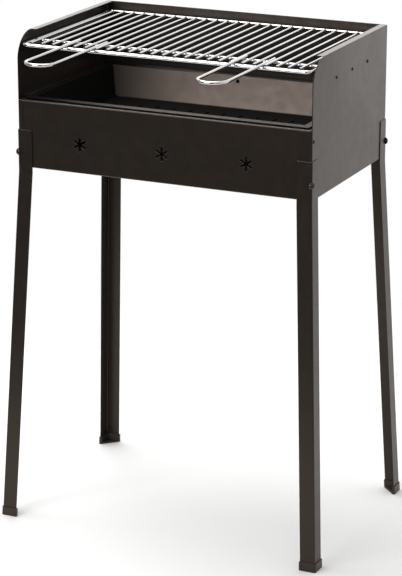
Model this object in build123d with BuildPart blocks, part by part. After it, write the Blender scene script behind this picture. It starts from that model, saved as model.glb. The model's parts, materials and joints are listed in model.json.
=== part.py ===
"""Charcoal grill of folded sheet steel, with a slotted fire tray and a chromed wire grate.

Millimetres, +Z up, the front towards -Y. The origin is on the floor, at the middle of the
whole grill's plan, so the casing stands a little behind it: the grate's handles reach forward.
"""

import os
from math import radians, sqrt, tan

from build123d import *

os.makedirs("parts", exist_ok=True)

# Casing
casing_width = 500.0
casing_depth = 310.0
casing_height = 215.0
front_height = 110.0
ground_clearance = 587.0
sheet = 1.0
bend_inner = 1.0
side_flange = 12.0
front_flange = 7.5
front_flange_land = 0.5
side_corner_radius = 43.0
panel_flange = 12.0
relief_clearance = 0.5
floor_clearance = 0.3

# Star vents in the front panel
vent_count = 3
vent_pitch = 142.0
vent_height = 47.5
vent_size = 22.5
vent_arm = 3.4
vent_angles = (30, 90, 150)

# Grate
grate_drop = 18.5
frame_wire = 6.0
frame_side_gap = 2.5
frame_front_setback = 6.0
frame_back_setback = 18.0
frame_corner = 10.0
bar_wire = 4.0
bar_count = 25
bar_side_gap = 16.2
bar_overhang = 1.0
back_wire = 4.0
cross_wire = 4.0
cross_setback = 41.0
handle_wire = 5.0
handle_bar_gap = 0.4
handle_bars_outside = 4
handle_bars_between = 2
handle_reach = 146.0
handle_tail = 4.0
weld_sink = 0.5

# Rails that carry the grate
rail_spare = 4.5
rail_drop = 32.0
rail_front_setback = 20.0
rail_end_gap = 1.0
rail_rivet_pitch = 64.5
rail_rivet_shift = 4.0
rail_rivet_drop = 20.5
seat_clearance = 0.3

# Fire tray and its ledges
tray_side_gap = 7.0
tray_end_gap = 6.0
tray_shift = -1.0
tray_rim = 12.0
tray_rim_gap = 2.0
tray_depth = 54.0
tray_draft = 11.0
tray_seam = 0.6
tray_relief = 6.0
slot_count = 11
slot_width = 4.0
slot_side_margin = 70.0
slot_end_margin = 38.5
tray_hole = 6.0
tray_hole_drop = 9.0
ledge_wall_gap = 5.0
ledge_drop = 15.0
ledge_setback = 13.0

# Rivets
rivet_shank = 3.2
rivet_head = 5.6
rivet_head_height = 1.4
rivet_head_taper = 35.0
rivet_tail = 4.4
rivet_tail_length = 1.4
rivet_hole_clearance = 0.2
panel_rivet_drop = 18.0
panel_rivet_setback = 6.0

# Legs, foot caps and the bolts that hold the legs
leg_flange = 25.0
leg_sheet = 1.2
leg_overlap = 62.0
leg_kink_drop = 6.0
leg_splay_x = 2.7
leg_splay_y = 3.2
cap_height = 14.0
cap_wall = 1.6
cap_sole = 3.0
bolt_shank = 5.0
bolt_height = 25.5
bolt_head = 11.0
bolt_head_height = 4.0
bolt_head_taper = 40.0
bolt_tail = 2.0
bolt_hole_clearance = 0.4
nut_flats = 8.0
nut_thickness = 4.0

# Wires, rivets and small holes are drawn with this many sides, to keep the model light
small_round_sides = 12

# Outer radii of the bends, and the clearances that follow from them
bend_radius = bend_inner + sheet
leg_bend = bend_inner + leg_sheet
flange_relief = bend_radius + relief_clearance
bolt_hole = bolt_shank + bolt_hole_clearance
rivet_hole = rivet_shank + rivet_hole_clearance

# The legs lean outwards below the kink, so the feet stand wider than the casing
kink_z = ground_clearance - leg_kink_drop
lean_x = tan(radians(leg_splay_x))
lean_y = tan(radians(leg_splay_y))
lean_length = sqrt(lean_x**2 + lean_y**2 + 1)
foot_reach_x = casing_width / 2 + leg_sheet + lean_x * kink_z + cap_wall
foot_reach_y = casing_depth / 2 + leg_sheet + lean_y * kink_z + cap_wall

# Plan of the grate, measured from the middle of the casing
frame_x = casing_width / 2 - sheet - frame_side_gap - frame_wire / 2
frame_front = -casing_depth / 2 + frame_front_setback
frame_back = casing_depth / 2 - frame_back_setback
handle_front = frame_front - handle_reach
front_reach = min(handle_front - handle_wire / 2, -foot_reach_y)

# The casing's middle stands back so that the whole grill is centred on the origin
casing_y = -(front_reach + foot_reach_y) / 2
front_y = casing_y - casing_depth / 2
back_y = casing_y + casing_depth / 2
side_x = casing_width / 2
inner_x = side_x - sheet
casing_top = ground_clearance + casing_height
front_top = ground_clearance + front_height
bolt_z = ground_clearance + bolt_height

# Corners of the casing, as the signs of their X and Y
corners = {
    "front_right": (1, -1),
    "front_left": (-1, -1),
    "back_right": (1, 1),
    "back_left": (-1, 1),
}
right_corners = [corners["front_right"], corners["back_right"]]
front_corners = [corners["front_right"], corners["front_left"]]
back_corners = [corners["back_right"], corners["back_left"]]


def small_round(diameter, mode=Mode.ADD):
    """Section of a wire, rivet or small hole: a polygon with its corners on the circle."""
    return RegularPolygon(diameter / 2, small_round_sides, mode=mode)


def corner_plane(corner, reach=0):
    """Plane at bolt height, facing out of a corner at 45 degrees, at the centre of its bends."""
    across, along = corner
    bend_x = across * (side_x - bend_inner)
    bend_y = casing_y + along * (casing_depth / 2 - bend_inner)
    outwards = Vector(across, along, 0).normalized()
    return Plane(Vector(bend_x, bend_y, bolt_z) + outwards * reach, x_dir=(0, 0, 1), z_dir=outwards)


# Rivets on the right side panel, as points of the YZ plane
frame_z = casing_top - grate_drop
rail_top = frame_z - frame_wire / 2 - seat_clearance
rail_rivet_z = rail_top - rail_rivet_drop
rail_rivet_points = [
    (casing_y + rail_rivet_shift + step * rail_rivet_pitch, rail_rivet_z) for step in (-1, 0, 1)
]
panel_rivet_point = (front_y + panel_rivet_setback, front_top - panel_rivet_drop)

# Side panel: a shallow folded pan with a rounded front corner, open towards the inside
with BuildPart() as right_side_panel:
    with BuildSketch(Plane.YZ.offset(side_x)) as side_outline:
        with Locations((casing_y, ground_clearance + casing_height / 2)):
            Rectangle(casing_depth, casing_height)
        fillet(side_outline.vertices().sort_by_distance((front_y, casing_top))[0], side_corner_radius)
    extrude(amount=-side_flange)
    fillet(right_side_panel.faces().sort_by(Axis.X)[-1].edges(), bend_radius)
    offset(amount=-sheet, openings=right_side_panel.faces().sort_by(Axis.X)[0])
    # No flange round the front corner, above the front panel
    with BuildSketch(Plane.XZ.offset(-front_y)):
        with Locations((inner_x, front_top)):
            Rectangle(side_flange, casing_height, align=(Align.MAX, Align.MIN))
    extrude(amount=-side_corner_radius, mode=Mode.SUBTRACT)
    # A narrower flange over the front panel, with a rounded top end
    with BuildSketch(Plane.XZ.offset(-front_y)):
        with Locations((side_x - front_flange, ground_clearance)):
            Rectangle(side_flange, casing_height, align=(Align.MAX, Align.MIN))
    extrude(amount=-bend_radius, mode=Mode.SUBTRACT)
    front_flange_tip = (side_x - front_flange, front_y, front_top)
    front_flange_end = right_side_panel.edges().filter_by(Axis.Y).sort_by_distance(front_flange_tip)[0]
    fillet(front_flange_end, front_flange - bend_radius - front_flange_land)
    # Open corners where two flanges would meet
    with BuildSketch(Plane.YZ.offset(inner_x)):
        with Locations((back_y, casing_top), (back_y, ground_clearance), (front_y, ground_clearance)):
            Rectangle(2 * flange_relief, 2 * flange_relief)
    extrude(amount=-side_flange, mode=Mode.SUBTRACT)
    with BuildSketch(Plane.YZ.offset(side_x)):
        with Locations(*rail_rivet_points, panel_rivet_point):
            small_round(rivet_hole)
    extrude(amount=-side_flange, mode=Mode.SUBTRACT)
    for corner in right_corners:
        with BuildSketch(corner_plane(corner)):
            small_round(bolt_hole)
        extrude(amount=panel_flange, both=True, mode=Mode.SUBTRACT)
right_side_panel.part.label = "right_side_panel"
export_step(right_side_panel.part, "parts/right_side_panel.step")

with BuildPart() as left_side_panel:
    mirror(right_side_panel.part, about=Plane.YZ)
left_side_panel.part.label = "left_side_panel"
export_step(left_side_panel.part, "parts/left_side_panel.step")

# Front panel: folded on all four edges, inside the side panels' front flanges
front_face_y = front_y + sheet
panel_bottom = ground_clearance + sheet
with BuildPart() as front_panel:
    with BuildSketch(Plane.XZ.offset(-front_face_y)):
        with Locations((0, (panel_bottom + front_top) / 2)):
            Rectangle(2 * inner_x, front_top - panel_bottom)
    extrude(amount=-panel_flange)
    fillet(front_panel.faces().sort_by(Axis.Y)[0].edges(), bend_radius)
    offset(amount=-sheet, openings=front_panel.faces().sort_by(Axis.Y)[-1])
    # Open corners where two flanges would meet
    with BuildSketch(Plane.XZ.offset(-front_face_y)):
        with Locations((0, (panel_bottom + front_top) / 2)):
            with GridLocations(2 * inner_x, front_top - panel_bottom, 2, 2):
                Rectangle(2 * flange_relief, 2 * flange_relief)
    extrude(amount=-panel_flange, mode=Mode.SUBTRACT)
    with BuildSketch(Plane.XZ.offset(-front_face_y)):
        with Locations((0, ground_clearance + vent_height)):
            with GridLocations(vent_pitch, 0, vent_count, 1):
                for angle in vent_angles:
                    Rectangle(vent_size, vent_arm, rotation=angle)
    extrude(amount=-sheet, mode=Mode.SUBTRACT)
    with BuildSketch(Plane.YZ):
        with Locations(panel_rivet_point):
            small_round(rivet_hole)
    extrude(amount=side_x, both=True, mode=Mode.SUBTRACT)
    for corner in front_corners:
        with BuildSketch(corner_plane(corner)):
            small_round(bolt_hole)
        extrude(amount=panel_flange, both=True, mode=Mode.SUBTRACT)
front_panel.part.label = "front_panel"
export_step(front_panel.part, "parts/front_panel.step")

# Back panel: folded at its ends and its foot, its plain top edge level with the side panels
back_face_y = back_y - sheet
back_corners_xz = [(side * inner_x, z) for side in (1, -1) for z in (panel_bottom, casing_top)]
with BuildPart() as back_panel:
    with BuildSketch(Plane.XZ.offset(-back_face_y)):
        with Locations((0, (panel_bottom + casing_top) / 2)):
            Rectangle(2 * inner_x, casing_top - panel_bottom)
    extrude(amount=panel_flange)
    fillet(back_panel.faces().sort_by(Axis.Y)[-1].edges().sort_by(Axis.Z)[:-1], bend_radius)
    back_openings = [back_panel.faces().sort_by(Axis.Y)[0], back_panel.faces().sort_by(Axis.Z)[-1]]
    offset(amount=-sheet, openings=back_openings)
    # Open corners, clear of the side panels' flanges
    with BuildSketch(Plane.XZ.offset(-back_face_y)):
        with Locations(*back_corners_xz):
            Rectangle(2 * flange_relief, 2 * flange_relief)
    extrude(amount=panel_flange, mode=Mode.SUBTRACT)
    for corner in back_corners:
        with BuildSketch(corner_plane(corner)):
            small_round(bolt_hole)
        extrude(amount=panel_flange, both=True, mode=Mode.SUBTRACT)
back_panel.part.label = "back_panel"
export_step(back_panel.part, "parts/back_panel.step")

# Floor panel: a flat sheet welded on the front and back panels' bottom flanges
floor_gap = bend_inner + floor_clearance
with BuildPart() as floor_panel:
    with BuildSketch(Plane.XY.offset(panel_bottom + sheet)):
        with Locations((0, casing_y)):
            Rectangle(2 * (inner_x - sheet - floor_gap), casing_depth - 4 * sheet - 2 * floor_gap)
    extrude(amount=sheet)
floor_panel.part.label = "floor_panel"
export_step(floor_panel.part, "parts/floor_panel.step")


def angle_strip(start, end, top, width, drop):
    """Folded angle on the right side panel's inner face, from start to end along Y, ledge at the top."""
    with BuildPart() as strip:
        with BuildSketch(Plane.XZ.offset(-start)) as section:
            with Locations((inner_x, top)):
                Rectangle(width, drop, align=(Align.MAX, Align.MAX))
            with Locations((inner_x - sheet, top - sheet)):
                Rectangle(width, drop, align=(Align.MAX, Align.MAX), mode=Mode.SUBTRACT)
            fillet(section.vertices().sort_by_distance((inner_x, top))[0], bend_radius)
            fillet(section.vertices().sort_by_distance((inner_x - sheet, top - sheet))[0], bend_inner)
        extrude(amount=start - end)
    return strip.part


# Grate rail: riveted to the side panel, wide enough for the frame's side wire
rail_width = frame_side_gap + frame_wire + rail_spare
rail_start = front_y + rail_front_setback
rail_end = back_face_y - panel_flange - rail_end_gap
with BuildPart() as right_grate_rail:
    add(angle_strip(rail_start, rail_end, rail_top, rail_width, rail_drop))
    with BuildSketch(Plane.YZ.offset(inner_x)):
        with Locations(*rail_rivet_points):
            small_round(rivet_hole)
    extrude(amount=-sheet, mode=Mode.SUBTRACT)
right_grate_rail.part.label = "right_grate_rail"
export_step(right_grate_rail.part, "parts/right_grate_rail.step")

with BuildPart() as left_grate_rail:
    mirror(right_grate_rail.part, about=Plane.YZ)
left_grate_rail.part.label = "left_grate_rail"
export_step(left_grate_rail.part, "parts/left_grate_rail.step")

# Rivets: three hold each rail, and one holds each end of the front panel
rivet_grip = 2 * sheet
with BuildPart() as rivet:
    with BuildSketch():
        small_round(rivet_head)
    extrude(amount=rivet_head_height, taper=rivet_head_taper)
    with BuildSketch():
        small_round(rivet_shank)
    extrude(amount=-rivet_grip)
    with BuildSketch(Plane.XY.offset(-rivet_grip)):
        small_round(rivet_tail)
    extrude(amount=-rivet_tail_length)


def rivet_planes(points):
    """Planes on both side panels, facing outwards, at points of the YZ plane."""
    sides = (1, -1)
    return [Plane((side * side_x, y, z), z_dir=(side, 0, 0)) for side in sides for y, z in points]


with BuildPart() as rail_rivets:
    with Locations(*rivet_planes(rail_rivet_points)):
        add(rivet.part)
rail_rivets.part.label = "rail_rivets"
export_step(rail_rivets.part, "parts/rail_rivets.step")

with BuildPart() as panel_rivets:
    with Locations(*rivet_planes([panel_rivet_point])):
        add(rivet.part)
panel_rivets.part.label = "panel_rivets"
export_step(panel_rivets.part, "parts/panel_rivets.step")

# Fire tray: a pan with sloping walls, a flat mitred rim and a slotted floor
tray_y = casing_y + tray_shift
tray_opening_width = casing_width - 2 * (sheet + tray_side_gap + tray_rim)
tray_opening_depth = casing_depth - 2 * (2 * sheet + tray_end_gap + tray_rim)
tray_slope = tan(radians(tray_draft)) * (tray_depth - sheet)
tray_floor_width = tray_opening_width - 2 * tray_slope
tray_floor_depth = tray_opening_depth - 2 * tray_slope
slot_pitch = (tray_floor_width - 2 * slot_side_margin) / (slot_count - 1)
slot_length = tray_floor_depth - 2 * slot_end_margin
rim_top = front_top + tray_rim_gap + sheet
rim_plane = Plane((0, tray_y, rim_top), x_dir=(1, 0, 0), z_dir=(0, 0, -1))


def tray_block(margin, depth):
    """Solid with the tray's sloping walls, grown by a margin round the opening at the rim."""
    with BuildPart() as block:
        with BuildSketch(rim_plane):
            Rectangle(tray_opening_width + 2 * margin, tray_opening_depth + 2 * margin)
        extrude(amount=depth, taper=tray_draft)
    return block.part


with BuildPart() as fire_tray:
    add(tray_block(sheet, tray_depth))
    add(tray_block(0, tray_depth - sheet), mode=Mode.SUBTRACT)
    with BuildSketch(rim_plane):
        Rectangle(tray_opening_width + 2 * tray_rim, tray_opening_depth + 2 * tray_rim)
        Rectangle(tray_opening_width, tray_opening_depth, mode=Mode.SUBTRACT)
    extrude(amount=sheet)
    # An open seam down each folded corner, from the rim's outer corner to the floor
    seam_middle = (tray_rim - tray_slope) / 2
    with BuildSketch(rim_plane):
        for across, along in corners.values():
            seam_x = across * (tray_opening_width / 2 + seam_middle)
            seam_y = along * (tray_opening_depth / 2 + seam_middle)
            with Locations((seam_x, seam_y)):
                Rectangle(sqrt(2) * (tray_rim + tray_slope), tray_seam, rotation=45 * across * along)
    extrude(amount=tray_depth - sheet, mode=Mode.SUBTRACT)
    # A relief hole where two folds and the floor meet
    with BuildSketch(Plane.XY.offset(rim_top - tray_depth)):
        with Locations((0, tray_y)):
            with GridLocations(tray_floor_width, tray_floor_depth, 2, 2):
                small_round(tray_relief)
    extrude(amount=tray_relief / 2, mode=Mode.SUBTRACT)
    with BuildSketch(Plane.XY.offset(rim_top - tray_depth)):
        with Locations((0, tray_y)):
            with GridLocations(slot_pitch, 0, slot_count, 1):
                Rectangle(slot_width, slot_length)
    extrude(amount=sheet, mode=Mode.SUBTRACT)
    with BuildSketch(Plane.XZ.offset(-tray_y)):
        with Locations((0, rim_top - tray_hole_drop)):
            Circle(tray_hole / 2)
    extrude(amount=-casing_depth / 2, mode=Mode.SUBTRACT)
fire_tray.part.label = "fire_tray"
export_step(fire_tray.part, "parts/fire_tray.step")

# Tray ledge: a shorter angle strip, welded to the side panel under the tray's rim
ledge_width = tray_side_gap + tray_rim - ledge_wall_gap
ledge_start = front_face_y + panel_flange + ledge_setback
ledge_end = back_face_y - panel_flange - ledge_setback
with BuildPart() as right_tray_ledge:
    add(angle_strip(ledge_start, ledge_end, rim_top - sheet, ledge_width, ledge_drop))
right_tray_ledge.part.label = "right_tray_ledge"
export_step(right_tray_ledge.part, "parts/right_tray_ledge.step")

with BuildPart() as left_tray_ledge:
    mirror(right_tray_ledge.part, about=Plane.YZ)
left_tray_ledge.part.label = "left_tray_ledge"
export_step(left_tray_ledge.part, "parts/left_tray_ledge.step")

# Grate frame: a U of thick wire, bent round the two front corners
frame_end = frame_back + back_wire / 2
frame_points = [
    (frame_x, casing_y + frame_end),
    (frame_x, casing_y + frame_front),
    (-frame_x, casing_y + frame_front),
    (-frame_x, casing_y + frame_end),
]
with BuildPart() as grate_frame:
    with BuildLine(Plane.XY.offset(frame_z)) as frame_path:
        FilletPolyline(*frame_points, radius=frame_corner)
    with BuildSketch(Plane(frame_path.line @ 0, z_dir=frame_path.line % 0)):
        small_round(frame_wire)
    sweep(path=frame_path.line)
grate_frame.part.label = "grate_frame"
export_step(grate_frame.part, "parts/grate_frame.step")

# Back rail: a thinner wire welded on the ends of the U
back_rail_z = frame_z + frame_wire / 2 + back_wire / 2 - weld_sink
with BuildPart() as grate_back_rail:
    with BuildSketch(Plane.YZ):
        with Locations((casing_y + frame_back, back_rail_z)):
            small_round(back_wire)
    extrude(amount=frame_x + frame_wire / 2, both=True)
grate_back_rail.part.label = "grate_back_rail"
export_step(grate_back_rail.part, "parts/grate_back_rail.step")

# Bars: their front ends lie on the frame, and their back ends butt against the back rail
bar_pitch = 2 * (frame_x - bar_side_gap) / (bar_count - 1)
bar_z = frame_z + frame_wire / 2 + bar_wire / 2 - weld_sink
bar_start = casing_y + frame_front - bar_overhang
bar_end = casing_y + frame_back - back_wire / 2 + weld_sink
with BuildPart() as grate_bars:
    with BuildSketch(Plane.XZ.offset(-bar_start)):
        with Locations((0, bar_z)):
            with GridLocations(bar_pitch, 0, bar_count, 1):
                small_round(bar_wire)
    extrude(amount=bar_start - bar_end)
grate_bars.part.label = "grate_bars"
export_step(grate_bars.part, "parts/grate_bars.step")

# Cross wire: under the bars, from one side of the frame to the other
cross_y = casing_y + frame_front + cross_setback
cross_z = bar_z - bar_wire / 2 - cross_wire / 2 + weld_sink
cross_end = frame_x - frame_wire / 2 + weld_sink
with BuildPart() as grate_cross_wire:
    with BuildSketch(Plane.YZ):
        with Locations((cross_y, cross_z)):
            small_round(cross_wire)
    extrude(amount=cross_end, both=True)
grate_cross_wire.part.label = "grate_cross_wire"
export_step(grate_cross_wire.part, "parts/grate_cross_wire.step")

# Handles: a U of wire between the bars, laid on the cross wire and the front rail
handle_span = (handle_bars_between + 1) * bar_pitch - bar_wire - handle_wire - 2 * handle_bar_gap
handle_x = ((bar_count - handle_bars_between) / 2 - handle_bars_outside) * bar_pitch
handle_z = frame_z + frame_wire / 2 + handle_wire / 2 - weld_sink
handle_tail_y = cross_y + cross_wire / 2 + handle_tail
handle_loop_y = casing_y + handle_front + handle_span / 2
near_x = handle_x - handle_span / 2
far_x = handle_x + handle_span / 2
with BuildPart() as right_handle:
    with BuildLine(Plane.XY.offset(handle_z)) as handle_path:
        near_arm = Line((near_x, handle_tail_y), (near_x, handle_loop_y))
        TangentArc((near_x, handle_loop_y), (far_x, handle_loop_y), tangent=near_arm % 1)
        Line((far_x, handle_loop_y), (far_x, handle_tail_y))
    with BuildSketch(Plane(handle_path.line @ 0, z_dir=handle_path.line % 0)):
        small_round(handle_wire)
    sweep(path=handle_path.line)
right_handle.part.label = "right_handle"
export_step(right_handle.part, "parts/right_handle.step")

with BuildPart() as left_handle:
    mirror(right_handle.part, about=Plane.YZ)
left_handle.part.label = "left_handle"
export_step(left_handle.part, "parts/left_handle.step")


def angle_section(corner, z, drop, margin):
    """Angle section round a casing corner at height z, moved outwards by the lean over a drop.

    margin grows the section on every side, for the foot cap that goes round the leg's end.
    """
    across, along = corner
    corner_x = across * (side_x + leg_sheet + lean_x * drop + margin)
    corner_y = casing_y + along * (casing_depth / 2 + leg_sheet + lean_y * drop + margin)
    wall = leg_sheet + 2 * margin
    inner_size = leg_flange - leg_sheet
    align = (Align.MAX if across > 0 else Align.MIN, Align.MAX if along > 0 else Align.MIN)
    with BuildSketch(Plane.XY.offset(z)) as section:
        with Locations((corner_x, corner_y)):
            Rectangle(leg_flange + 2 * margin, leg_flange + 2 * margin, align=align)
        with Locations((corner_x - across * wall, corner_y - along * wall)):
            Rectangle(inner_size, inner_size, align=align, mode=Mode.SUBTRACT)
        fillet(section.vertices().sort_by_distance((corner_x, corner_y))[0], leg_bend + margin)
    return section.sketch


def leg_section(corner, z, drop):
    """The leg's own angle section, with the inside of its bend rounded too."""
    across, along = corner
    inner_corner_x = across * (side_x + lean_x * drop)
    inner_corner_y = casing_y + along * (casing_depth / 2 + lean_y * drop)
    with BuildSketch(Plane.XY.offset(z)) as section:
        add(angle_section(corner, 0, drop, 0))
        fillet(section.vertices().sort_by_distance((inner_corner_x, inner_corner_y))[0], bend_inner)
    return section.sketch


# Legs: an angle, upright beside the casing and leaning outwards below the kink
for name, (across, along) in corners.items():
    corner = (across, along)
    downwards = (across * lean_x, along * lean_y, -1)
    with BuildPart() as leg:
        extrude(leg_section(corner, kink_z, 0), amount=leg_overlap + leg_kink_drop)
        extrude(leg_section(corner, kink_z, 0), amount=(kink_z - cap_sole) * lean_length, dir=downwards)
        with BuildSketch(corner_plane(corner)):
            small_round(bolt_hole)
        extrude(amount=panel_flange, both=True, mode=Mode.SUBTRACT)
    leg.part.label = f"{name}_leg"
    export_step(leg.part, f"parts/{name}_leg.step")

# Foot caps: a sleeve round the leg's end on a three-cornered sole
sole_side = leg_flange + 2 * cap_wall
sole_end = leg_sheet + 2 * cap_wall
for name, (across, along) in corners.items():
    corner = (across, along)
    upwards = (-across * lean_x, -along * lean_y, 1)
    sole_x = across * foot_reach_x
    sole_y = casing_y + along * foot_reach_y
    sole_points = [
        (sole_x, sole_y),
        (sole_x - across * sole_side, sole_y),
        (sole_x - across * sole_side, sole_y - along * sole_end),
        (sole_x - across * sole_end, sole_y - along * sole_side),
        (sole_x, sole_y - along * sole_side),
    ]
    with BuildPart() as cap:
        extrude(angle_section(corner, 0, kink_z, cap_wall), amount=cap_height * lean_length, dir=upwards)
        with BuildSketch() as sole:
            with BuildLine():
                Polyline(*sole_points, close=True)
            make_face()
            fillet(sole.vertices().sort_by_distance((sole_x, sole_y))[0], leg_bend + cap_wall)
        extrude(amount=cap_sole * lean_length, dir=upwards)
        socket = leg_section(corner, cap_sole, kink_z - cap_sole)
        extrude(socket, amount=cap_height * lean_length, dir=upwards, mode=Mode.SUBTRACT)
    cap.part.label = f"{name}_foot_cap"
    export_step(cap.part, f"parts/{name}_foot_cap.step")

# Leg bolts: a domed head on the crest of the leg's bend, the shank pointing into the casing
nut_seat = sqrt(2) * (2 * sheet - bend_inner) + nut_flats / 2
bolt_length = leg_bend + nut_seat + nut_thickness + bolt_tail
with BuildPart() as bolt:
    with BuildSketch():
        small_round(bolt_head)
    extrude(amount=bolt_head_height, taper=bolt_head_taper)
    with BuildSketch():
        small_round(bolt_shank)
    extrude(amount=-bolt_length)
with BuildPart() as leg_bolts:
    with Locations(*[corner_plane(corner, leg_bend) for corner in corners.values()]):
        add(bolt.part)
leg_bolts.part.label = "leg_bolts"
export_step(leg_bolts.part, "parts/leg_bolts.step")

# Nuts: drawn into the inside corners, where two edges bear on the panels
with BuildPart() as nut:
    with BuildSketch():
        RegularPolygon(nut_flats / 2, 6, major_radius=False)
        small_round(bolt_hole, mode=Mode.SUBTRACT)
    extrude(amount=-nut_thickness)
with BuildPart() as leg_nuts:
    with Locations(*[corner_plane(corner, -nut_seat) for corner in corners.values()]):
        add(nut.part)
leg_nuts.part.label = "leg_nuts"
export_step(leg_nuts.part, "parts/leg_nuts.step")
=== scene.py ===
# %% [markdown]
# # A charcoal grill, dressed in cells
#
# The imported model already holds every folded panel, leg, wire and rivet at its real size. This lesson
# gives those pieces their finish, swaps the few-sided wires and pins for smooth ones worked out with
# numpy, and sets up a plain studio. Sizes are in metres, +Z is up and the front looks towards -Y.

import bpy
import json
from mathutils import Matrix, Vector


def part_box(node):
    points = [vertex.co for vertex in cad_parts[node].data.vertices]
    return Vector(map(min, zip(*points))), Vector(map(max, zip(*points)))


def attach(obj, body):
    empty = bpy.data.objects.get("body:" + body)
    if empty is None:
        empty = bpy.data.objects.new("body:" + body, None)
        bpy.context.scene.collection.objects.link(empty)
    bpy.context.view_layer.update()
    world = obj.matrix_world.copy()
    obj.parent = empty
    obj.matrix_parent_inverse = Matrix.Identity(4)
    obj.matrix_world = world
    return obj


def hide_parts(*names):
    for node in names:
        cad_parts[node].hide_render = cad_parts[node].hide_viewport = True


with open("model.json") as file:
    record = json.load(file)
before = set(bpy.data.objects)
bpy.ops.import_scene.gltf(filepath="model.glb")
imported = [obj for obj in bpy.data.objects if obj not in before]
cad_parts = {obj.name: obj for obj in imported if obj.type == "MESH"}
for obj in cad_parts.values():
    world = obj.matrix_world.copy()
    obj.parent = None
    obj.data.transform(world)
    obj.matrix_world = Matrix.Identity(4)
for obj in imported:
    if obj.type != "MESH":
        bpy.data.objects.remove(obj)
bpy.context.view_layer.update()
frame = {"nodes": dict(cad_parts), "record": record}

# %% Modules and units
import json
from math import radians

import bmesh
import bpy
import numpy as np

mm = 0.001
scene = bpy.context.scene
nodes = frame["nodes"]

# %% [markdown]
# ## Camera
#
# A long lens far away keeps the upright edges nearly parallel, as in a catalogue picture. The stand
# point and the two angles were worked out from the casing's corners, so they are written as they are.

# %% Camera
camera_place = (1.5433, -3.2774, 1.5339)
camera_down = 17.523
camera_turn = 24.925
focal_pixels = 2366.3
picture_height = 576

camera = bpy.data.objects.new("camera", bpy.data.cameras.new("camera"))
camera.location = camera_place
camera.rotation_euler = (radians(90 - camera_down), 0, radians(camera_turn))
camera.data.lens = camera.data.sensor_width * focal_pixels / picture_height
camera.data.clip_end = 50
scene.collection.objects.link(camera)
scene.camera = camera
scene.view_settings.view_transform = "Standard"
print("lens", round(camera.data.lens, 1), "mm")

# %% [markdown]
# ## Placing shader nodes
#
# A shader is a small graph. One helper places a node, sets its options, and either links a socket or
# writes a plain value into it. A few more wrap the nodes that come back again and again, so that the
# finishes below read like a list of what feeds what.


# %% Node helpers
def put(tree, kind, inputs=None, **options):
    """Place a node in a tree. A value that is itself a socket is linked, any other value is written in."""
    node = tree.nodes.new(kind)
    for name, value in options.items():
        setattr(node, name, value)
    for name, value in (inputs or {}).items():
        if isinstance(value, bpy.types.NodeSocket):
            tree.links.new(value, node.inputs[name])
        else:
            node.inputs[name].default_value = value
    return node


def empty_tree(owner):
    """The owner's node tree, switched on and emptied."""
    owner.use_nodes = True
    owner.node_tree.nodes.clear()
    return owner.node_tree


def new_material(name):
    """A material and its empty node tree."""
    material = bpy.data.materials.new(name)
    return material, empty_tree(material)


def show(tree, shader):
    """Join a shader node to the material's output."""
    put(tree, "ShaderNodeOutputMaterial", {"Surface": shader.outputs[0]})


print("node helpers ready")


# %% Sums, spans and blends
def reckoned(tree, operation, first, second):
    """Result of a sum on two values, such as MULTIPLY or MAXIMUM."""
    return put(tree, "ShaderNodeMath", {0: first, 1: second}, operation=operation).outputs["Value"]


def vector_sum(tree, operation, result, *vectors):
    """One result, Value or Vector, of a sum on one or two vectors."""
    return put(tree, "ShaderNodeVectorMath", dict(enumerate(vectors)), operation=operation).outputs[result]


def ranged(tree, value, span, onto=(0.0, 1.0), **options):
    """Where a value lies in a span, held between the span's ends and laid onto another span."""
    ends = {"From Min": span[0], "From Max": span[1], "To Min": onto[0], "To Max": onto[1]}
    return put(tree, "ShaderNodeMapRange", {"Value": value, **ends}, **options).outputs["Result"]


def blended(tree, share, first, second, kind="RGBA"):
    """Between a first and a second colour, or number for the kind FLOAT, by a share from 0 to 1."""
    parts = {"Factor": share, "A": first, "B": second}
    return put(tree, "ShaderNodeMix", parts, data_type=kind).outputs["Result"]


def parted(tree, vector):
    """The X, Y and Z of a vector, as sockets."""
    return put(tree, "ShaderNodeSeparateXYZ", {"Vector": vector}).outputs


def object_place(tree):
    """The place on the piece, in Object coordinates."""
    return put(tree, "ShaderNodeTexCoord").outputs["Object"]


print("sums, spans and blends ready")

# %% [markdown]
# ## Studio
#
# Black satin paint shows its surroundings more than its own colour, so the studio decides how it looks.
# A white sweep stands behind the grill and to its right, and the room in front of it is dim. The camera,
# and whatever mirrors or looks through something, meets plain white in the world.

# %% Tone of the room
sweep = (0.32, 0.80, 0.51)
tone_stops = ((0.12, (0.08, 0.08, 0.08, 1)), (0.80, (1.0, 0.99, 0.98, 1)))


def room_tone(tree, direction):
    """Colour of the studio in a direction: dim away from the sweep, white towards it."""
    facing = vector_sum(tree, "DOT_PRODUCT", "Value", direction, sweep)
    tone = put(tree, "ShaderNodeValToRGB", {"Fac": ranged(tree, facing, (-1.0, 1.0))})
    for element, (position, colour) in zip(tone.color_ramp.elements, tone_stops):
        element.position = position
        element.color = colour
    return tone.outputs["Color"]


print("the sweep stands towards", sweep)


# %% World
def studio_world():
    """White to the camera, to reflections and through glass. Matt surfaces are lit by the room's tones."""
    world = bpy.data.worlds.new("studio")
    tree = empty_tree(world)
    direction = put(tree, "ShaderNodeTexCoord").outputs["Generated"]
    path = put(tree, "ShaderNodeLightPath").outputs
    seen = reckoned(tree, "MAXIMUM", path["Is Camera Ray"], path["Is Glossy Ray"])
    white = reckoned(tree, "MAXIMUM", seen, path["Is Transmission Ray"])
    shown = blended(tree, white, room_tone(tree, direction), (1, 1, 1, 1))
    light = put(tree, "ShaderNodeBackground", {"Color": shown, "Strength": 1.0})
    put(tree, "ShaderNodeOutputWorld", {"Surface": light.outputs["Background"]})
    return world


scene.world = studio_world()
print("world", scene.world.name)

# %% Lamps
casing_middle = (0, 0.0536, 0.72)


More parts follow.
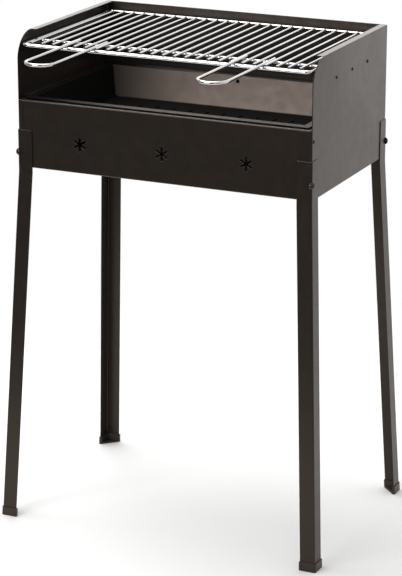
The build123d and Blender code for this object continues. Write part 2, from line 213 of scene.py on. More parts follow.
def softbox(name, place, size, radiance):
    """Rectangular lamp that looks at the casing's middle. Its power is radiance x pi x area."""
    lamp = bpy.data.lights.new(name, "AREA")
    lamp.shape = "RECTANGLE"
    lamp.size, lamp.size_y = size
    lamp.energy = radiance * np.pi * size[0] * size[1]
    box = bpy.data.objects.new(name, lamp)
    aim = Vector(casing_middle) - Vector(place)
    box.rotation_euler = aim.to_track_quat("-Z", "Y").to_euler()
    box.location = place
    box.visible_camera = False
    scene.collection.objects.link(box)


softbox("front_left_box", place=(-0.90, -2.60, 1.60), size=(1.8, 0.8), radiance=9.6)
softbox("key_box", place=(1.75, -2.40, 1.15), size=(0.5, 0.5), radiance=5.0)
softbox("back_box", place=(-1.10, 2.90, 1.75), size=(3.2, 1.1), radiance=0.9)
softbox("top_box", place=(-0.9, 0.4, 3.0), size=(2.0, 2.0), radiance=5.0)

# %% [markdown]
# ## Surfaces from rings
#
# The floor, the room, the wires, the welds and the pins are all made alike: numpy works out rings of
# points by a formula, and quads join each ring to the next. A ring that turns right-handed about the way
# to the next ring gives faces that look outwards.


# %% Faces of a stack of rings
def ring_faces(rings, sides):
    """Quads between neighbouring rings."""
    start = np.arange(rings - 1)[:, None] * sides
    side = np.arange(sides)[None, :]
    beside = (side + 1) % sides
    corners = [start + side, start + beside, start + sides + beside, start + sides + side]
    return np.stack(corners, axis=-1).reshape(-1, 4).tolist()


def end_faces(rings, sides):
    """One many-sided face on the first ring and one on the last, both looking outwards."""
    first = list(range(sides))[::-1]
    last = list(range((rings - 1) * sides, rings * sides))
    return [first, last]


def skin_faces(grid, ends=2):
    """Faces of a grid of rings: its sides, and both ends or the first end alone."""
    rings, sides = grid.shape[:2]
    return ring_faces(rings, sides) + end_faces(rings, sides)[:ends]


print("a square tube of 3 rings has", len(ring_faces(3, 4)), "side faces")

# %% Pieces and copies
smooth_angle = radians(40)


def new_piece(name, points, faces, sharp_from=smooth_angle):
    """Object at the origin whose mesh holds the points and faces, shaded smooth below an angle."""
    mesh = bpy.data.meshes.new(name)
    mesh.from_pydata(np.asarray(points).reshape(-1, 3), [], faces)
    piece = bpy.data.objects.new(name, mesh)
    scene.collection.objects.link(piece)
    mesh.shade_smooth()
    mesh.set_sharp_from_angle(angle=sharp_from)
    return piece


def repeated_faces(faces, count, copies):
    """The same faces for every copy, when each copy has its own count of points."""
    return [[corner + copy * count for corner in face] for copy in range(copies) for face in faces]


def copies_of(points, faces, shifts):
    """The same points and faces once at every shift."""
    points = np.asarray(points).reshape(1, -1, 3)
    every_point = points + np.asarray(shifts, dtype=float)[:, None, :]
    return every_point.reshape(-1, 3), repeated_faces(faces, points.shape[1], len(shifts))


print("shaded smooth below", round(np.degrees(smooth_angle)), "degrees")

# %% Part of a sphere
any_slant = (0.0, 0.6, 0.8)


def cap_points(axis, radius, reach, rings, sides):
    """Part of a sphere round an axis, from near its pole to the angle reach.

    Ring i, point j = radius (cos t axis + sin t (cos a u + sin a v)), with t = reach (i + 1) / rings,
    a = 2 pi j / sides, and u, v square to the axis.
    """
    axis = np.asarray(axis) / np.linalg.norm(axis)
    u = np.cross(axis, any_slant)
    u /= np.linalg.norm(u)
    v = np.cross(axis, u)
    tilt = np.linspace(0, reach, rings + 1)[1:, None, None]
    angle = np.linspace(0, 2 * np.pi, sides, endpoint=False)[None, :, None]
    return radius * (np.cos(tilt) * axis + np.sin(tilt) * (np.cos(angle) * u + np.sin(angle) * v))


half_ball = cap_points((0, 0, 1), 1.0, np.pi / 2, 4, 8)
print("half a ball, as rings, points and coordinates", half_ball.shape)

# %% [markdown]
# ### Room
#
# The dim part of the room is a wide shell that only reflections meet. It leaves out the side of the
# sweep, where they go on to the white world. A dark world would do the same for the paint, but then the
# chrome and the background would lose their white.


# %% Room
def room_material():
    """Soft glow with the room's tones, by the direction from the middle of the shell."""
    material, tree = new_material("dim_room")
    direction = vector_sum(tree, "NORMALIZE", "Vector", object_place(tree))
    show(tree, put(tree, "ShaderNodeEmission", {"Color": room_tone(tree, direction), "Strength": 1.0}))
    material.cycles.emission_sampling = "NONE"
    return material


room_radius = 8.0
room_reach = radians(125)
room_rings, room_sides = 16, 48
away_from_sweep = -np.array(sweep)
room_grid = cap_points(away_from_sweep, room_radius, room_reach, room_rings, room_sides)
room = new_piece("dim_room", room_grid, skin_faces(room_grid, ends=1))
room.location = casing_middle
room.data.materials.append(room_material())
room.visible_camera = False
room.visible_diffuse = False
room.visible_transmission = False
room.visible_shadow = False
print("room faces", len(room.data.polygons))

# %% [markdown]
# ### Floor
#
# The floor is a wide disc of pale paper that keeps the grill's soft shadow. It fades into the white
# background before its rim, so that no edge or horizon crosses the picture, and it is clear from below.


# %% Floor
def disc_points(radius, rings, sides):
    """Flat rings: ring i, point j = radius (i + 1) / rings (cos a, -sin a), with a = 2 pi j / sides."""
    reach = np.linspace(0, radius, rings + 1)[1:, None]
    angle = np.linspace(0, 2 * np.pi, sides, endpoint=False)[None, :]
    flat = np.zeros((rings, sides))
    return np.stack([reach * np.cos(angle), -reach * np.sin(angle), flat], axis=-1)


def paper_material(colour, fade_span):
    """Pale matt paper. Rays pass through it towards the rim, and everywhere from below."""
    material, tree = new_material("pale_paper")
    reach = vector_sum(tree, "LENGTH", "Value", object_place(tree))
    fade = ranged(tree, reach, fade_span, interpolation_type="SMOOTHSTEP")
    below = put(tree, "ShaderNodeNewGeometry").outputs["Backfacing"]
    share = reckoned(tree, "MAXIMUM", fade, below)
    paper = put(tree, "ShaderNodeBsdfDiffuse", {"Color": colour}).outputs["BSDF"]
    clear = put(tree, "ShaderNodeBsdfTransparent").outputs["BSDF"]
    show(tree, put(tree, "ShaderNodeMixShader", {0: share, 1: paper, 2: clear}))
    return material


floor_radius = 1.5
floor_rings, floor_sides = 6, 64
floor_fade = (0.5 * floor_radius, 0.9 * floor_radius)
paper_colour = (0.80, 0.80, 0.80, 1)
floor_grid = disc_points(floor_radius, floor_rings, floor_sides)
floor = new_piece("paper_floor", floor_grid, skin_faces(floor_grid, ends=1))
floor.data.materials.append(paper_material(paper_colour, floor_fade))
print("floor faces", len(floor.data.polygons))

# %% [markdown]
# ## Paint
#
# The casing is folded first and then coated with heat-proof satin paint. Close up, such a film has a fine
# skin like an orange's peel, its gloss drifts a little over a hand's width where it was wiped, and its
# shade is never perfectly even. Heat has polished it more towards the top and the back, and hands and tools
# have polished what looks up. Edges that look up are painted lighter, a painted highlight. The panels, the
# legs, the fire tray, the caps and the pins share this, so it is one group with a few values to set.


# %% Heat polish
def heat_polish(tree, place, low, high):
    """0 at the casing's front and low on the legs, rising evenly to 1 at its back and top.

    The share is (y - front) / depth times (z - foot) / (top - foot), each held between 0 and 1, and the
    foot lies half of the casing's height below it.
    """
    apart = parted(tree, place)
    back = ranged(tree, apart["Y"], (low[1], high[1]))
    foot = low[2] - (high[2] - low[2]) / 2
    top = ranged(tree, apart["Z"], (foot, high[2]))
    return reckoned(tree, "MULTIPLY", back, top)


side_low, side_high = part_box("right_side_panel")
print("casing from", round(side_low[2], 3), "to", round(side_high[2], 3), "m")


# %% Clouds and polish
def clouds(tree, place, scale, detail, roughness=0.5, distortion=0.0):
    """Cloudy noise from 0 to 1, with about as many clouds to the metre as its scale."""
    look = {"Scale": scale, "Detail": detail, "Roughness": roughness, "Distortion": distortion}
    return put(tree, "ShaderNodeTexNoise", {"Vector": place, **look}).outputs["Fac"]


wipe_scale = 11.0
wipe_span = (0.40, 0.66)
wipe_polish = (0.28, 0.74)
hand_upward = (0.3, 0.9)
hand_polish = (0.0, 0.7)


def polish_share(tree, place, upward):
    """Polish of the film: heat gives it in wiped clouds, and hands give it to what looks up."""
    wiped = clouds(tree, place, wipe_scale, detail=7.0, roughness=0.68, distortion=0.8)
    heated = heat_polish(tree, place, side_low, side_high)
    warmed = reckoned(tree, "MULTIPLY", ranged(tree, wiped, wipe_span, wipe_polish), heated)
    return reckoned(tree, "MAXIMUM", warmed, ranged(tree, upward, hand_upward, hand_polish))


print("wiped polish from", wipe_polish[0], "to", wipe_polish[1])

# %% Painted edge highlights
edge_lean = (0.995, 0.85)
edge_upward = (0.1, 0.5)


def painted_edge_highlight(tree, normal, upward):
    """Share of the painted highlight on edges: 1 on an edge that looks up, 0 on flat faces and on edges that
    look sideways or down.

    An edge shows where the rounded normal leans away from the face's own, by the cosine between the two.
    """
    flat = put(tree, "ShaderNodeNewGeometry").outputs["True Normal"]
    lean = vector_sum(tree, "DOT_PRODUCT", "Value", normal, flat)
    return reckoned(tree, "MULTIPLY", ranged(tree, lean, edge_lean), ranged(tree, upward, edge_upward))


print("edges lean by", [round(float(np.degrees(np.arccos(cosine)))) for cosine in edge_lean], "degrees")

# %% Paint film group
film_values = {"Peel Scale": 900.0, "Drift Scale": 9.0, "Edge Width": 0.9 * mm}
gloss_scale = 55.0
bevel_samples = 6


def paint_film_group():
    """A coat of paint: its drifting shade, gloss and polish, its fine skin, its rounded edges, and the share
    of a painted highlight on edges that look up.
    """
    group = bpy.data.node_groups.new("paint_film", "ShaderNodeTree")
    for name, value in film_values.items():
        socket = group.interface.new_socket(name, in_out="INPUT", socket_type="NodeSocketFloat")
        socket.default_value = value
    for name in ("Shade", "Gloss", "Polish", "Height", "Edge"):
        group.interface.new_socket(name, in_out="OUTPUT", socket_type="NodeSocketFloat")
    group.interface.new_socket("Normal", in_out="OUTPUT", socket_type="NodeSocketVector")
    given = put(group, "NodeGroupInput").outputs
    place = object_place(group)
    rounded = put(group, "ShaderNodeBevel", {"Radius": given["Edge Width"]}, samples=bevel_samples)
    normal = rounded.outputs["Normal"]
    upward = parted(group, normal)["Z"]
    put(
        group,
        "NodeGroupOutput",
        {
            "Shade": clouds(group, place, given["Drift Scale"], detail=4.0),
            "Gloss": clouds(group, place, gloss_scale, detail=6.0, roughness=0.6),
            "Polish": polish_share(group, place, upward),
            "Height": clouds(group, place, given["Peel Scale"], detail=2.0),
            "Edge": painted_edge_highlight(group, normal, upward),
            "Normal": normal,
        },
    )
    return group


paint_film = paint_film_group()
film_sockets = paint_film.interface.items_tree
print("paint film outputs", [item.name for item in film_sockets if item.in_out == "OUTPUT"])

# %% Colour, gloss and normal of the film
# The lighter colour of the painted highlight on edges that look up.
edge_highlight_colour = (0.160, 0.142, 0.128, 1)
gloss_span = (0.3, 0.7)
peel_height = 0.5 * mm


def film_colour(tree, film, dark, light):
    """Colour of the film: it drifts between two shades and is painted lighter on edges that look up, a
    painted highlight.
    """
    shade = blended(tree, film.outputs["Shade"], dark, light)
    return blended(tree, film.outputs["Edge"], shade, edge_highlight_colour)


def film_gloss(tree, film, smooth, rough):
    """Roughness of the film: it drifts between two values with the fine clouds."""
    return ranged(tree, film.outputs["Gloss"], gloss_span, (smooth, rough))


def film_normal(tree, film, peel):
    """Normal of the film: rounded at the edges and roughened by the fine skin, as strongly as its peel."""
    skin = {"Strength": peel, "Distance": peel_height}
    surface = {"Height": film.outputs["Height"], "Normal": film.outputs["Normal"]}
    return put(tree, "ShaderNodeBump", {**skin, **surface}).outputs["Normal"]


print("painted edge highlight", edge_highlight_colour[:3])

# %% Painted metal
warm_gloss = (1.0, 0.80, 0.66, 1)
coat_tint = (1.0, 0.94, 0.90, 1)
coat_roughness = 0.38
paint_peel = 0.05


def painted_metal(name, dark, light, gloss, shine, polished):
    """Satin heat-proof paint with a warm gloss, as strong as its shine, polished or left dull."""
    material, tree = new_material(name)
    film = put(tree, "ShaderNodeGroup", node_tree=paint_film)
    sockets = {
        "Base Color": film_colour(tree, film, dark, light),
        "Roughness": film_gloss(tree, film, *gloss),
        "Specular IOR Level": shine,
        "Specular Tint": warm_gloss,
        "Coat Weight": film.outputs["Polish"] if polished else 0.0,
        "Coat Roughness": coat_roughness,
        "Coat Tint": coat_tint,
        "Normal": film_normal(tree, film, paint_peel),
    }
    show(tree, put(tree, "ShaderNodeBsdfPrincipled", sockets))
    return material


casing_paint = painted_metal(
    "satin_casing_paint",
    dark=(0.0098, 0.0080, 0.0067, 1),
    light=(0.0124, 0.0101, 0.0085, 1),
    gloss=(0.30, 0.37),
    shine=0.44,
    polished=True,
)
rivet_paint = painted_metal(
    "matt_rivet_paint",
    dark=(0.008, 0.007, 0.006, 1),
    light=(0.012, 0.010, 0.009, 1),
    gloss=(0.50, 0.60),
    shine=0.2,
    polished=False,
)
bolt_paint = painted_metal(
    "satin_bolt_paint",
    dark=(0.010, 0.009, 0.008, 1),
    light=(0.015, 0.013, 0.012, 1),
    gloss=(0.16, 0.24),
    shine=0.5,
    polished=False,
)
print("paints", casing_paint.name, rivet_paint.name, bolt_paint.name)

# %% [markdown]
# ## Fire tray
#
# The tray's rim and its two long walls keep the metallic sheen of rolled sheet. Its floor and the walls at
# its ends are matt and painted near black, a painted shade in the tray's hollow, and the rim is painted
# darker towards its left end, a painted shade too. These could be separate materials on separate faces, but
# the imported mesh is loose triangles. The height above the floor and the mitre lines at the corners tell
# the finishes apart just as well, so masks mix their colours, their gloss and metal with coating.

# %% Masks of the tray
mask_blend = 1 * mm
rim_shade_span = (-0.4, -0.1)


def tray_masks(tree, low, high, sheet):
    """Two masks: the sheen of the rim and the long walls, and the rim alone.

    With x and y from the tray's middle, an end begins past the mitre, where |x| - half width is larger
    than |y| - half depth. Towards the left end the rim's sheen fades to nothing, a painted shade that leaves
    it matt and near black, over the rim shade span in shares of the width from the middle.
    """
    place = object_place(tree)
    middle = [(first + last) / 2 for first, last in zip(low, high)]
    width, depth = high[0] - low[0], high[1] - low[1]
    centred = vector_sum(tree, "SUBTRACT", "Vector", place, middle)
    half = parted(tree, vector_sum(tree, "ABSOLUTE", "Vector", centred))
    mitre = reckoned(tree, "SUBTRACT", half["Y"], half["X"])
    mitre_line = (depth - width) / 2
    long_side = ranged(tree, mitre, (mitre_line - mask_blend, mitre_line + mask_blend))
    height = parted(tree, place)["Z"]
    floor_top, rim_foot = low[2] + sheet, high[2] - 2 * sheet
    above = ranged(tree, height, (floor_top, floor_top + 2 * mask_blend))
    rim = ranged(tree, height, (rim_foot, rim_foot + mask_blend))
    # The rim turns matt and near black towards its left end, a painted shade.
    unshaded_share = ranged(tree, parted(tree, centred)["X"], [share * width for share in rim_shade_span])
    shiny = blended(tree, rim, long_side, unshaded_share, kind="FLOAT")
    return reckoned(tree, "MULTIPLY", shiny, above), rim


tray_sheet = 1.0 * mm
tray_low, tray_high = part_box("fire_tray")
print("tray", [round((last - first) / mm, 1) for first, last in zip(tray_low, tray_high)], "mm")

# %% Tray coating
tray_drift = 14.0
tray_peel = 0.08
wall_gloss = (0.39, 0.48)
floor_roughness = 0.9
tray_shine = 0.12
tray_tint = (1.0, 0.93, 0.88, 1)


def tray_sheen_and_shade(name, wall_dark, wall_light, rim_colour, painted_shade_colour):
    """Rim and long walls with a soft metallic sheen; the floor, the ends and the rim's left end are matt and
    painted near black, a painted shade.
    """
    material, tree = new_material(name)
    film = put(tree, "ShaderNodeGroup", {"Drift Scale": tray_drift}, node_tree=paint_film)
    sheen, rim = tray_masks(tree, tray_low, tray_high, tray_sheet)
    steel = blended(tree, rim, film_colour(tree, film, wall_dark, wall_light), rim_colour)
    satin = film_gloss(tree, film, *wall_gloss)
    sockets = {
        # Where the sheen is 0, on the floor, the ends and the rim's left end, the near-black colour is a
        # painted shade.
        "Base Color": blended(tree, sheen, painted_shade_colour, steel),
        "Roughness": blended(tree, sheen, floor_roughness, satin, kind="FLOAT"),
        "Metallic": sheen,
        "Specular IOR Level": tray_shine,
        "Specular Tint": tray_tint,
        "Normal": film_normal(tree, film, tray_peel),
    }
    show(tree, put(tree, "ShaderNodeBsdfPrincipled", sockets))
    return material


tray_paint = tray_sheen_and_shade(
    "tray_with_painted_shade",
    wall_dark=(0.094, 0.077, 0.066, 1),
    wall_light=(0.128, 0.104, 0.090, 1),
    rim_colour=(0.100, 0.095, 0.091, 1),
    painted_shade_colour=(0.002, 0.0018, 0.0016, 1),
)
print("tray finish", tray_paint.name)

# %% [markdown]
# ## Cap plastic
#
# The foot caps are moulded from black plastic. The mould is spark-eroded, which leaves a grain much finer
# than the skin of paint, so the paint film group serves again with a smaller peel and without its polish
# and its painted edge highlights.

# %% Cap plastic
cap_grain = {"Peel Scale": 2600.0, "Drift Scale": 30.0}
cap_peel = 0.2


def moulded_plastic(name, dark, light, gloss):
    """Moulded plastic: nearly one colour, with a fine spark-eroded grain in its height and gloss."""
    material, tree = new_material(name)
    film = put(tree, "ShaderNodeGroup", cap_grain, node_tree=paint_film)
    sockets = {
        "Base Color": blended(tree, film.outputs["Shade"], dark, light),
        "Roughness": film_gloss(tree, film, *gloss),
        "Specular Tint": warm_gloss,
        "Normal": film_normal(tree, film, cap_peel),
    }
    show(tree, put(tree, "ShaderNodeBsdfPrincipled", sockets))
    return material


cap_plastic = moulded_plastic(
    "moulded_caps",
    dark=(0.009, 0.0085, 0.008, 1),
    light=(0.013, 0.0122, 0.0115, 1),
    gloss=(0.36, 0.46),
)
print("plastic", cap_plastic.name)

# %% [markdown]
# ## Chrome
#
# The grate is bright plated wire. Drawing the wire through its die leaves faint streaks along it, which the
# plating follows. Each wire has a UV map with U along the wire and V round it, in metres, so a noise that
# is stretched along U gives streaks that run round every bend.

# %% Chrome
streak_scale = (30.0, 1500.0, 1.0)
streak_span = (0.3, 0.7)
chrome_gloss = (0.06, 0.12)
chrome_shades = ((0.57, 0.565, 0.56, 1), (0.65, 0.645, 0.64, 1))


def plated_wire(name):
    """Bright plated wire: drawing streaks along the wire, read from the wire's own UV map."""
    material, tree = new_material(name)
    along = put(tree, "ShaderNodeUVMap", uv_map="along_wire").outputs["UV"]
    stretched = put(tree, "ShaderNodeMapping", {"Vector": along, "Scale": streak_scale}).outputs["Vector"]
    streak = clouds(tree, stretched, scale=1.0, detail=3.0)
    sockets = {
        "Base Color": blended(tree, streak, *chrome_shades),
        "Roughness": ranged(tree, streak, streak_span, chrome_gloss),
        "Metallic": 1.0,
    }
    show(tree, put(tree, "ShaderNodeBsdfPrincipled", sockets))
    return material


grate_chrome = plated_wire("drawn_chrome")
print("chrome", grate_chrome.name)

# %% [markdown]
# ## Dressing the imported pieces
#
# The folded pieces already have their true shape, so each one only takes the finish of its slot in the
# record.

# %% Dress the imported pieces
finish_of_slot = {
    "casing_paint": casing_paint,
    "tray_steel": tray_paint,
    "rivet_steel": rivet_paint,
    "bolt_steel": bolt_paint,
    "cap_plastic": cap_plastic,
    "grate_chrome": grate_chrome,
}
for subpart in frame["record"]["subparts"]:
    mesh = nodes[subpart["node"]].data
    mesh.materials.clear()
    mesh.materials.append(finish_of_slot[subpart["material_slot"]])

# %% [markdown]
# ## Foot caps
#
# A moulded cap has no sharp edge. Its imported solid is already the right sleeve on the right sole, so each
# cap is a copy of that mesh: its loose triangles are merged, flat neighbours become one face, and a bevel
# rounds the edges that are left.

# %% Rounded foot caps
merge_distance = 0.01 * mm
flat_angle = radians(2)
rounding_steps = 3


def rounded_copy(name, node, radius):
    """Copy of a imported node's mesh with its edges rounded to a radius."""
    shape = bmesh.new()
    shape.from_mesh(nodes[node].data)
    bmesh.ops.remove_doubles(shape, verts=shape.verts, dist=merge_distance)
    bmesh.ops.dissolve_limit(shape, angle_limit=flat_angle, verts=shape.verts, edges=shape.edges)
    mesh = bpy.data.meshes.new(name)
    shape.to_mesh(mesh)
    shape.free()
    piece = bpy.data.objects.new(name, mesh)
    scene.collection.objects.link(piece)
    mesh.shade_smooth()
    mesh.set_sharp_from_angle(angle=smooth_angle)
    rounding = piece.modifiers.new("rounded_edges", "BEVEL")
    rounding.width = radius
    rounding.segments = rounding_steps
    rounding.limit_method = "ANGLE"
    rounding.angle_limit = smooth_angle
    return piece


cap_rounding = 0.7 * mm
for node in [name for name in nodes if name.endswith("_foot_cap")]:
    cap = rounded_copy(f"{node}_moulded", node, cap_rounding)
    cap.data.materials.clear()
    cap.data.materials.append(cap_plastic)
    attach(cap, "casing")
    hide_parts(node)
    print(cap.name, len(cap.data.polygons), "faces before its edges are rounded")

# %% [markdown]
# ## Wires of the grate
#
# The grate is welded from drawn wire. A curve with a round bevel would do, but its ends would be plain
# discs and it would carry no length along the wire. So each wire is a circle carried along a flat path: one
# function makes the ring of points at every path point, and the path alone tells a bar from a handle.


# %% Wire along a path
def wire_rings(path, radius, sides, chamfer):
    """Rings of a round wire on a level path, the two end rings drawn in by the chamfer.

    Ring i, point j = path[i] + radius (cos a_j up + sin a_j across_i), where a_j runs once round, up is +Z
    and across_i = tangent_i x up.
    """
    tangent = np.gradient(path, axis=0)
    tangent /= np.linalg.norm(tangent, axis=1, keepdims=True)
    up = np.array([0.0, 0.0, 1.0])
    across = np.cross(tangent, up)
    reach = np.full(len(path), radius)
    reach[[0, -1]] -= chamfer
    angle = np.linspace(0, 2 * np.pi, sides, endpoint=False)
    circle = np.cos(angle)[None, :, None] * up + np.sin(angle)[None, :, None] * across[:, None, :]
    return path[:, None, :] + reach[:, None, None] * circle


def chamfered_ends(path, chamfer):
    """The path with one more point near each end, a chamfer's length inside it."""
    path = np.asarray(path, dtype=float)
    first = path[1] - path[0]
    last = path[-2] - path[-1]
    inside_first = path[0] + chamfer * first / np.linalg.norm(first)
    inside_last = path[-1] + chamfer * last / np.linalg.norm(last)
    return np.vstack([path[:1], inside_first, path[1:-1], inside_last, path[-1:]])


wire_sides = 24
wire_chamfer = 0.4 * mm
print("wire of", wire_sides, "sides, ends chamfered by", round(wire_chamfer / mm, 1), "mm")


# %% UV map of a wire
def lay_uv(piece, uv_of_points):
    """UV map "along_wire" from one U, V pair for each point of the mesh."""
    corners = np.zeros(len(piece.data.loops), dtype=np.int32)
    piece.data.loops.foreach_get("vertex_index", corners)
    layer = piece.data.uv_layers.new(name="along_wire")
    layer.uv.foreach_set("vector", np.asarray(uv_of_points, dtype=np.float32)[corners].ravel())


def wire_uv(path, radius, sides, copies):
    """U is the length along the path, one metre further on for each copy, and V the distance round it."""
    steps = np.linalg.norm(np.diff(path, axis=0), axis=1)
    along = np.concatenate([[0.0], np.cumsum(steps)])
    around = 2 * np.pi * radius * np.arange(sides) / sides
    start = np.arange(copies)[:, None, None]
    along, around = np.broadcast_arrays(start + along[None, :, None], around[None, None, :])
    return np.stack([along, around], axis=-1).reshape(-1, 2)


straight_metre = np.array([(0.0, 0.0, 0.0), (1.0, 0.0, 0.0)])
print("a straight metre of wire ends at U", wire_uv(straight_metre, 2 * mm, wire_sides, 1)[-1, 0])


# %% Pieces of wire
def wire_piece(name, node, path, radius, shifts=((0, 0, 0),)):
    """One piece of round wire along a path, repeated at each shift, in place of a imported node."""
    path = chamfered_ends(path, wire_chamfer)
    points = wire_rings(path, radius, wire_sides, wire_chamfer)
    piece = new_piece(name, *copies_of(points, skin_faces(points), shifts))
    lay_uv(piece, wire_uv(path, radius, wire_sides, len(shifts)))
    piece.data.materials.append(grate_chrome)
    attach(piece, "grate")
    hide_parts(node)
    return piece


def wire_box(node):
    """Lowest and highest corner of a level wire node, and the wire's radius."""
    low, high = (np.array(corner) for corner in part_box(node))
    return low, high, (high[2] - low[2]) / 2


print("wire maker ready")

# %% [markdown]
# ### Frame and handles
#
# The frame and the handles are the same shape at two sizes: a U that opens towards the back. The frame's
# two bends are small and its front is long, and a handle's two bends meet in a half turn.

# %% Path of a bent U
turn_points = 13
same_point = 0.001 * mm


def bent_u(low, high, radius, corner):
    """Path of a U through the middle of its wire's box: arm, quarter turn, front, quarter turn, arm.

    A quarter turn is centre + corner (cos a, sin a), with a from 180 to 270 degrees on the left and from
    270 to 360 degrees on the right. Points that fall together, where two turns meet, are kept once.
    """
    left, right = low[0] + radius + corner, high[0] - radius - corner
    turn_y = low[1] + radius + corner
    quarter = np.linspace(0, np.pi / 2, turn_points)
    near = np.column_stack([left - corner * np.cos(quarter), turn_y - corner * np.sin(quarter)])
    far = np.column_stack([right + corner * np.sin(quarter), turn_y - corner * np.cos(quarter)])
    flat = np.vstack([[(left - corner, high[1])], near, far, [(right + corner, high[1])]])
    steps = np.linalg.norm(np.diff(flat, axis=0), axis=1)
    flat = flat[np.concatenate([[True], steps > same_point])]
    return np.column_stack([flat, np.full(len(flat), (low[2] + high[2]) / 2)])


print("quarter turns of", turn_points, "points")

# %% Frame and handles
frame_corner = 10 * mm
frame_low, frame_high, frame_radius = wire_box("grate_frame")
frame_path = bent_u(frame_low, frame_high, frame_radius, frame_corner)
frame_wire = wire_piece("grate_frame_wire", "grate_frame", frame_path, frame_radius)
print("frame wire", round(2 * frame_radius / mm, 2), "mm thick,", len(frame_wire.data.polygons), "faces")

handle_boxes = {side: wire_box(f"{side}_handle") for side in ("right", "left")}
for side, (low, high, radius) in handle_boxes.items():
    half_span = (high[0] - low[0]) / 2 - radius
    path = bent_u(low, high, radius, half_span)
    handle = wire_piece(f"{side}_handle_wire", f"{side}_handle", path, radius)
    print(handle.name, len(handle.data.polygons), "faces")

# %% [markdown]
# ### Straight wires
#
# The bars run from front to back, so one bar is made and repeated at an even pitch between the outermost
# two. The cross wire and the back rail run from side to side.

# %% Bars
bar_count = 25
bar_low, bar_high, bar_radius = wire_box("grate_bars")
bar_z = bar_low[2] + bar_radius
bar_x = np.linspace(bar_low[0] + bar_radius, bar_high[0] - bar_radius, bar_count)
bar_path = [(0, bar_low[1], bar_z), (0, bar_high[1], bar_z)]
bar_shifts = np.column_stack([bar_x, np.zeros(bar_count), np.zeros(bar_count)])
bars = wire_piece("grate_bar_wires", "grate_bars", bar_path, bar_radius, bar_shifts)
print(bar_count, "bars at", round((bar_x[1] - bar_x[0]) / mm, 2), "mm,", len(bars.data.polygons), "faces")


# %% Cross wire and back rail
def side_to_side(node):
    """Straight path through the middle of a node's box, from its left end to its right end."""
    low, high, radius = wire_box(node)
    middle = (low + high) / 2
    return [(low[0], middle[1], middle[2]), (high[0], middle[1], middle[2])], radius


cross_path, cross_radius = side_to_side("grate_cross_wire")
wire_piece("cross_wire_round", "grate_cross_wire", cross_path, cross_radius)
back_path, back_radius = side_to_side("grate_back_rail")
wire_piece("back_rail_round", "grate_back_rail", back_path, back_radius)
across_lengths = [round((path[1][0] - path[0][0]) / mm, 1) for path in (cross_path, back_path)]
print("wires across", across_lengths, "mm long")

# %% [markdown]
# ### Welds
#
# Every crossing is pressed hot until the wires sink together, and a small collar of steel is squeezed out
# round the spot. A collar is a flattened ball, half hidden in both wires.

# %% Weld maker
weld_reach = radians(170)
weld_rings, weld_sides = 8, 12


def weld_piece(name, spots, size):
    """Flattened balls: point = spot + size * (point of the unit ball), one at every spot."""
    ball = cap_points((0, 0, 1), 1.0, weld_reach, weld_rings, weld_sides)[:, ::-1]
    points, faces = copies_of(ball * np.asarray(size), skin_faces(ball), spots)
    piece = new_piece(name, points, faces)
    lay_uv(piece, points[:, :2])
    piece.data.materials.append(grate_chrome)
    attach(piece, "grate")


print("weld of", weld_rings, "rings and", weld_sides, "sides")

# %% Welds
front_y = frame_low[1] + frame_radius
cross_y = cross_path[0][1]
back_y = back_path[0][1]
flat_weld = (2.5 * mm, 2.5 * mm, 0.8 * mm)
butt_weld = (2.4 * mm, 0.8 * mm, 2.2 * mm)
handle_arms = [(low[0] + radius, high[0] - radius) for low, high, radius in handle_boxes.values()]
crossing_x = np.concatenate([bar_x, *handle_arms])
frame_arms = (frame_low[0] + frame_radius, frame_high[0] - frame_radius)
front_spots = [(x, front_y, bar_low[2]) for x in crossing_x]
cross_spots = [(x, cross_y, bar_low[2]) for x in crossing_x]
end_spots = [(x, back_y, bar_low[2]) for x in frame_arms]
back_spots = [(x, back_y - back_radius, bar_z) for x in bar_x]
crossing_spots = front_spots + cross_spots + end_spots
weld_piece("crossing_welds", crossing_spots, flat_weld)
weld_piece("bar_end_welds", back_spots, butt_weld)
print("welds", len(crossing_spots), "at crossings and", len(back_spots), "at bar ends")

# %% [markdown]
# ## Pins
#
# The rivets and bolts are turned shapes: a profile of radius and height, carried once round the pin's axis.
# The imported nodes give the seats, and the profiles give what a small round part has close up: the hole a
# blind rivet's mandrel leaves, a domed head with a thin rim, and a thread.


# %% Seats of the pins
def node_points(node):
    """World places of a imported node's points."""
    mesh = nodes[node].data
    flat = np.zeros(3 * len(mesh.vertices), dtype=np.float32)
    mesh.vertices.foreach_get("co", flat)
    turn = np.array(nodes[node].matrix_world)
    return flat.reshape(-1, 3) @ turn[:3, :3].T + turn[:3, 3]


def pin_seats(node, outward, count, head_height):
    """Seats of the pins of a node that look outward: on the pin's axis, under its head.

    The points on the outward side are put in order along the panel, and each even share of them is one pin.
    """
    outward = np.asarray(outward, dtype=float)
    side = np.sign(outward)
    outward /= np.linalg.norm(outward)
    beside = np.cross((0, 0, 1), outward)
    points = node_points(node)
    points = points[np.all(points * side >= 0, axis=1)]
    points = points[np.argsort(points @ beside)]
    seats = []
    for pin in np.array_split(points, count):
        middle = (pin.min(axis=0) + pin.max(axis=0)) / 2
        reach = (pin @ outward).max() - head_height
        seats.append(middle + (reach - middle @ outward) * outward)
    return [(seat, outward, beside) for seat in seats]


def seats_on(sides, node, count, head_height):
    """Seats of a node's pins on all the given sides of the casing."""
    return [seat for outward in sides for seat in pin_seats(node, outward, count, head_height)]


print("points of the rail rivets", len(node_points("rail_rivets")))

# %% Turned shapes
pin_sides = 24
pin_smooth_angle = radians(30)


def dome(inner, edge, rim, top, steps):
    """Profile of a cap from radius inner to edge: h = top - R + sqrt(R^2 - r^2), so h = rim at the edge."""
    rise = top - rim
    sphere = (edge**2 + rise**2) / (2 * rise)
    reach = np.linspace(inner, edge, steps)
    return np.column_stack([reach, top - sphere + np.sqrt(sphere**2 - reach**2)])


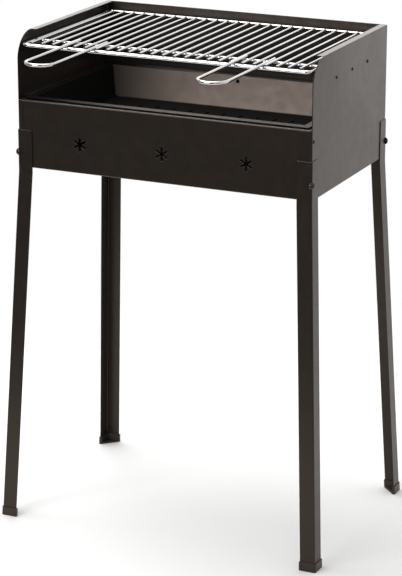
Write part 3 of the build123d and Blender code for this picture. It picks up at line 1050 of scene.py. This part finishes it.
def turned_piece(name, node, profile, seats, finish):
    """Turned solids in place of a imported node, one at each seat.

    Ring i, point j = seat + h_i outward + r_i (cos a_j up + sin a_j beside), for the profile's r_i, h_i
    from the head's middle down to the tail.
    """
    reach, height = np.asarray(profile).T[:, :, None, None]
    angle = np.linspace(0, 2 * np.pi, pin_sides, endpoint=False)[None, :, None]
    up = np.array([0.0, 0.0, 1.0])
    pins = [
        seat + height * outward + reach * (np.cos(angle) * up + np.sin(angle) * beside)
        for seat, outward, beside in seats
    ]
    faces = repeated_faces(skin_faces(pins[0]), len(profile) * pin_sides, len(seats))
    piece = new_piece(name, np.stack(pins), faces, pin_smooth_angle)
    piece.data.materials.append(finish)
    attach(piece, "casing")
    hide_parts(node)
    return piece


print("lathe of", pin_sides, "sides")

# %% Rivets
axis_gap = 0.05
right_and_left = ((1, 0, 0), (-1, 0, 0))
rivet_head = 2.8
rivet_rise = 1.4
rivet_shank = 1.6
rivet_bulb = 2.2
rivet_tail = -3.4
mandrel_hole = [(axis_gap, 0.9), (0.6, 0.85), (0.85, 0.6), (0.95, 0.6)]
under_head = [(rivet_head, 0.05), (rivet_shank, 0.0), (rivet_shank, -2.0)]
blind_bulb = [(rivet_bulb, -2.05), (rivet_bulb, -3.0), (1.7, rivet_tail), (axis_gap, rivet_tail)]
rivet_dome = dome(inner=1.05, edge=rivet_head, rim=0.25, top=rivet_rise, steps=8)
rivet_profile = mm * np.vstack([mandrel_hole, rivet_dome, under_head, blind_bulb])
for node, count in (("rail_rivets", 3), ("panel_rivets", 1)):
    seats = seats_on(right_and_left, node, count, rivet_rise * mm)
    rivets = turned_piece(f"{node}_turned", node, rivet_profile, seats, rivet_paint)
    print(rivets.name, len(seats), "rivets,", len(rivets.data.polygons), "faces")

# %% Bolts
corner_directions = [(across, along, 0) for across in (1, -1) for along in (1, -1)]
bolt_head = 5.5
bolt_rise = 4.0
bolt_radius = 2.5
bolt_length = 13.6
thread_pitch = 0.8
thread_depth = 0.35
thread_from = 6.0
crests = np.arange(thread_from, bolt_length - thread_pitch, thread_pitch)
thread_radii = np.tile([bolt_radius, bolt_radius - thread_depth], len(crests))
thread = np.column_stack([thread_radii, -np.repeat(crests, 2)])
thread[1::2, 1] -= thread_pitch / 2
bolt_dome = dome(inner=axis_gap, edge=bolt_head, rim=0.7, top=bolt_rise, steps=12)
bolt_rim = [(bolt_head, 0.2), (5.3, 0.0), (bolt_radius, 0.0)]
bolt_tip = [(2.2, 0.3 - bolt_length), (1.9, -bolt_length), (axis_gap, -bolt_length)]
bolt_profile = mm * np.vstack([bolt_dome, bolt_rim, thread, bolt_tip])
seats = seats_on(corner_directions, "leg_bolts", 1, bolt_rise * mm)
bolts = turned_piece("leg_bolts_turned", "leg_bolts", bolt_profile, seats, bolt_paint)
print(bolts.name, len(seats), "bolts,", len(bolts.data.polygons), "faces")
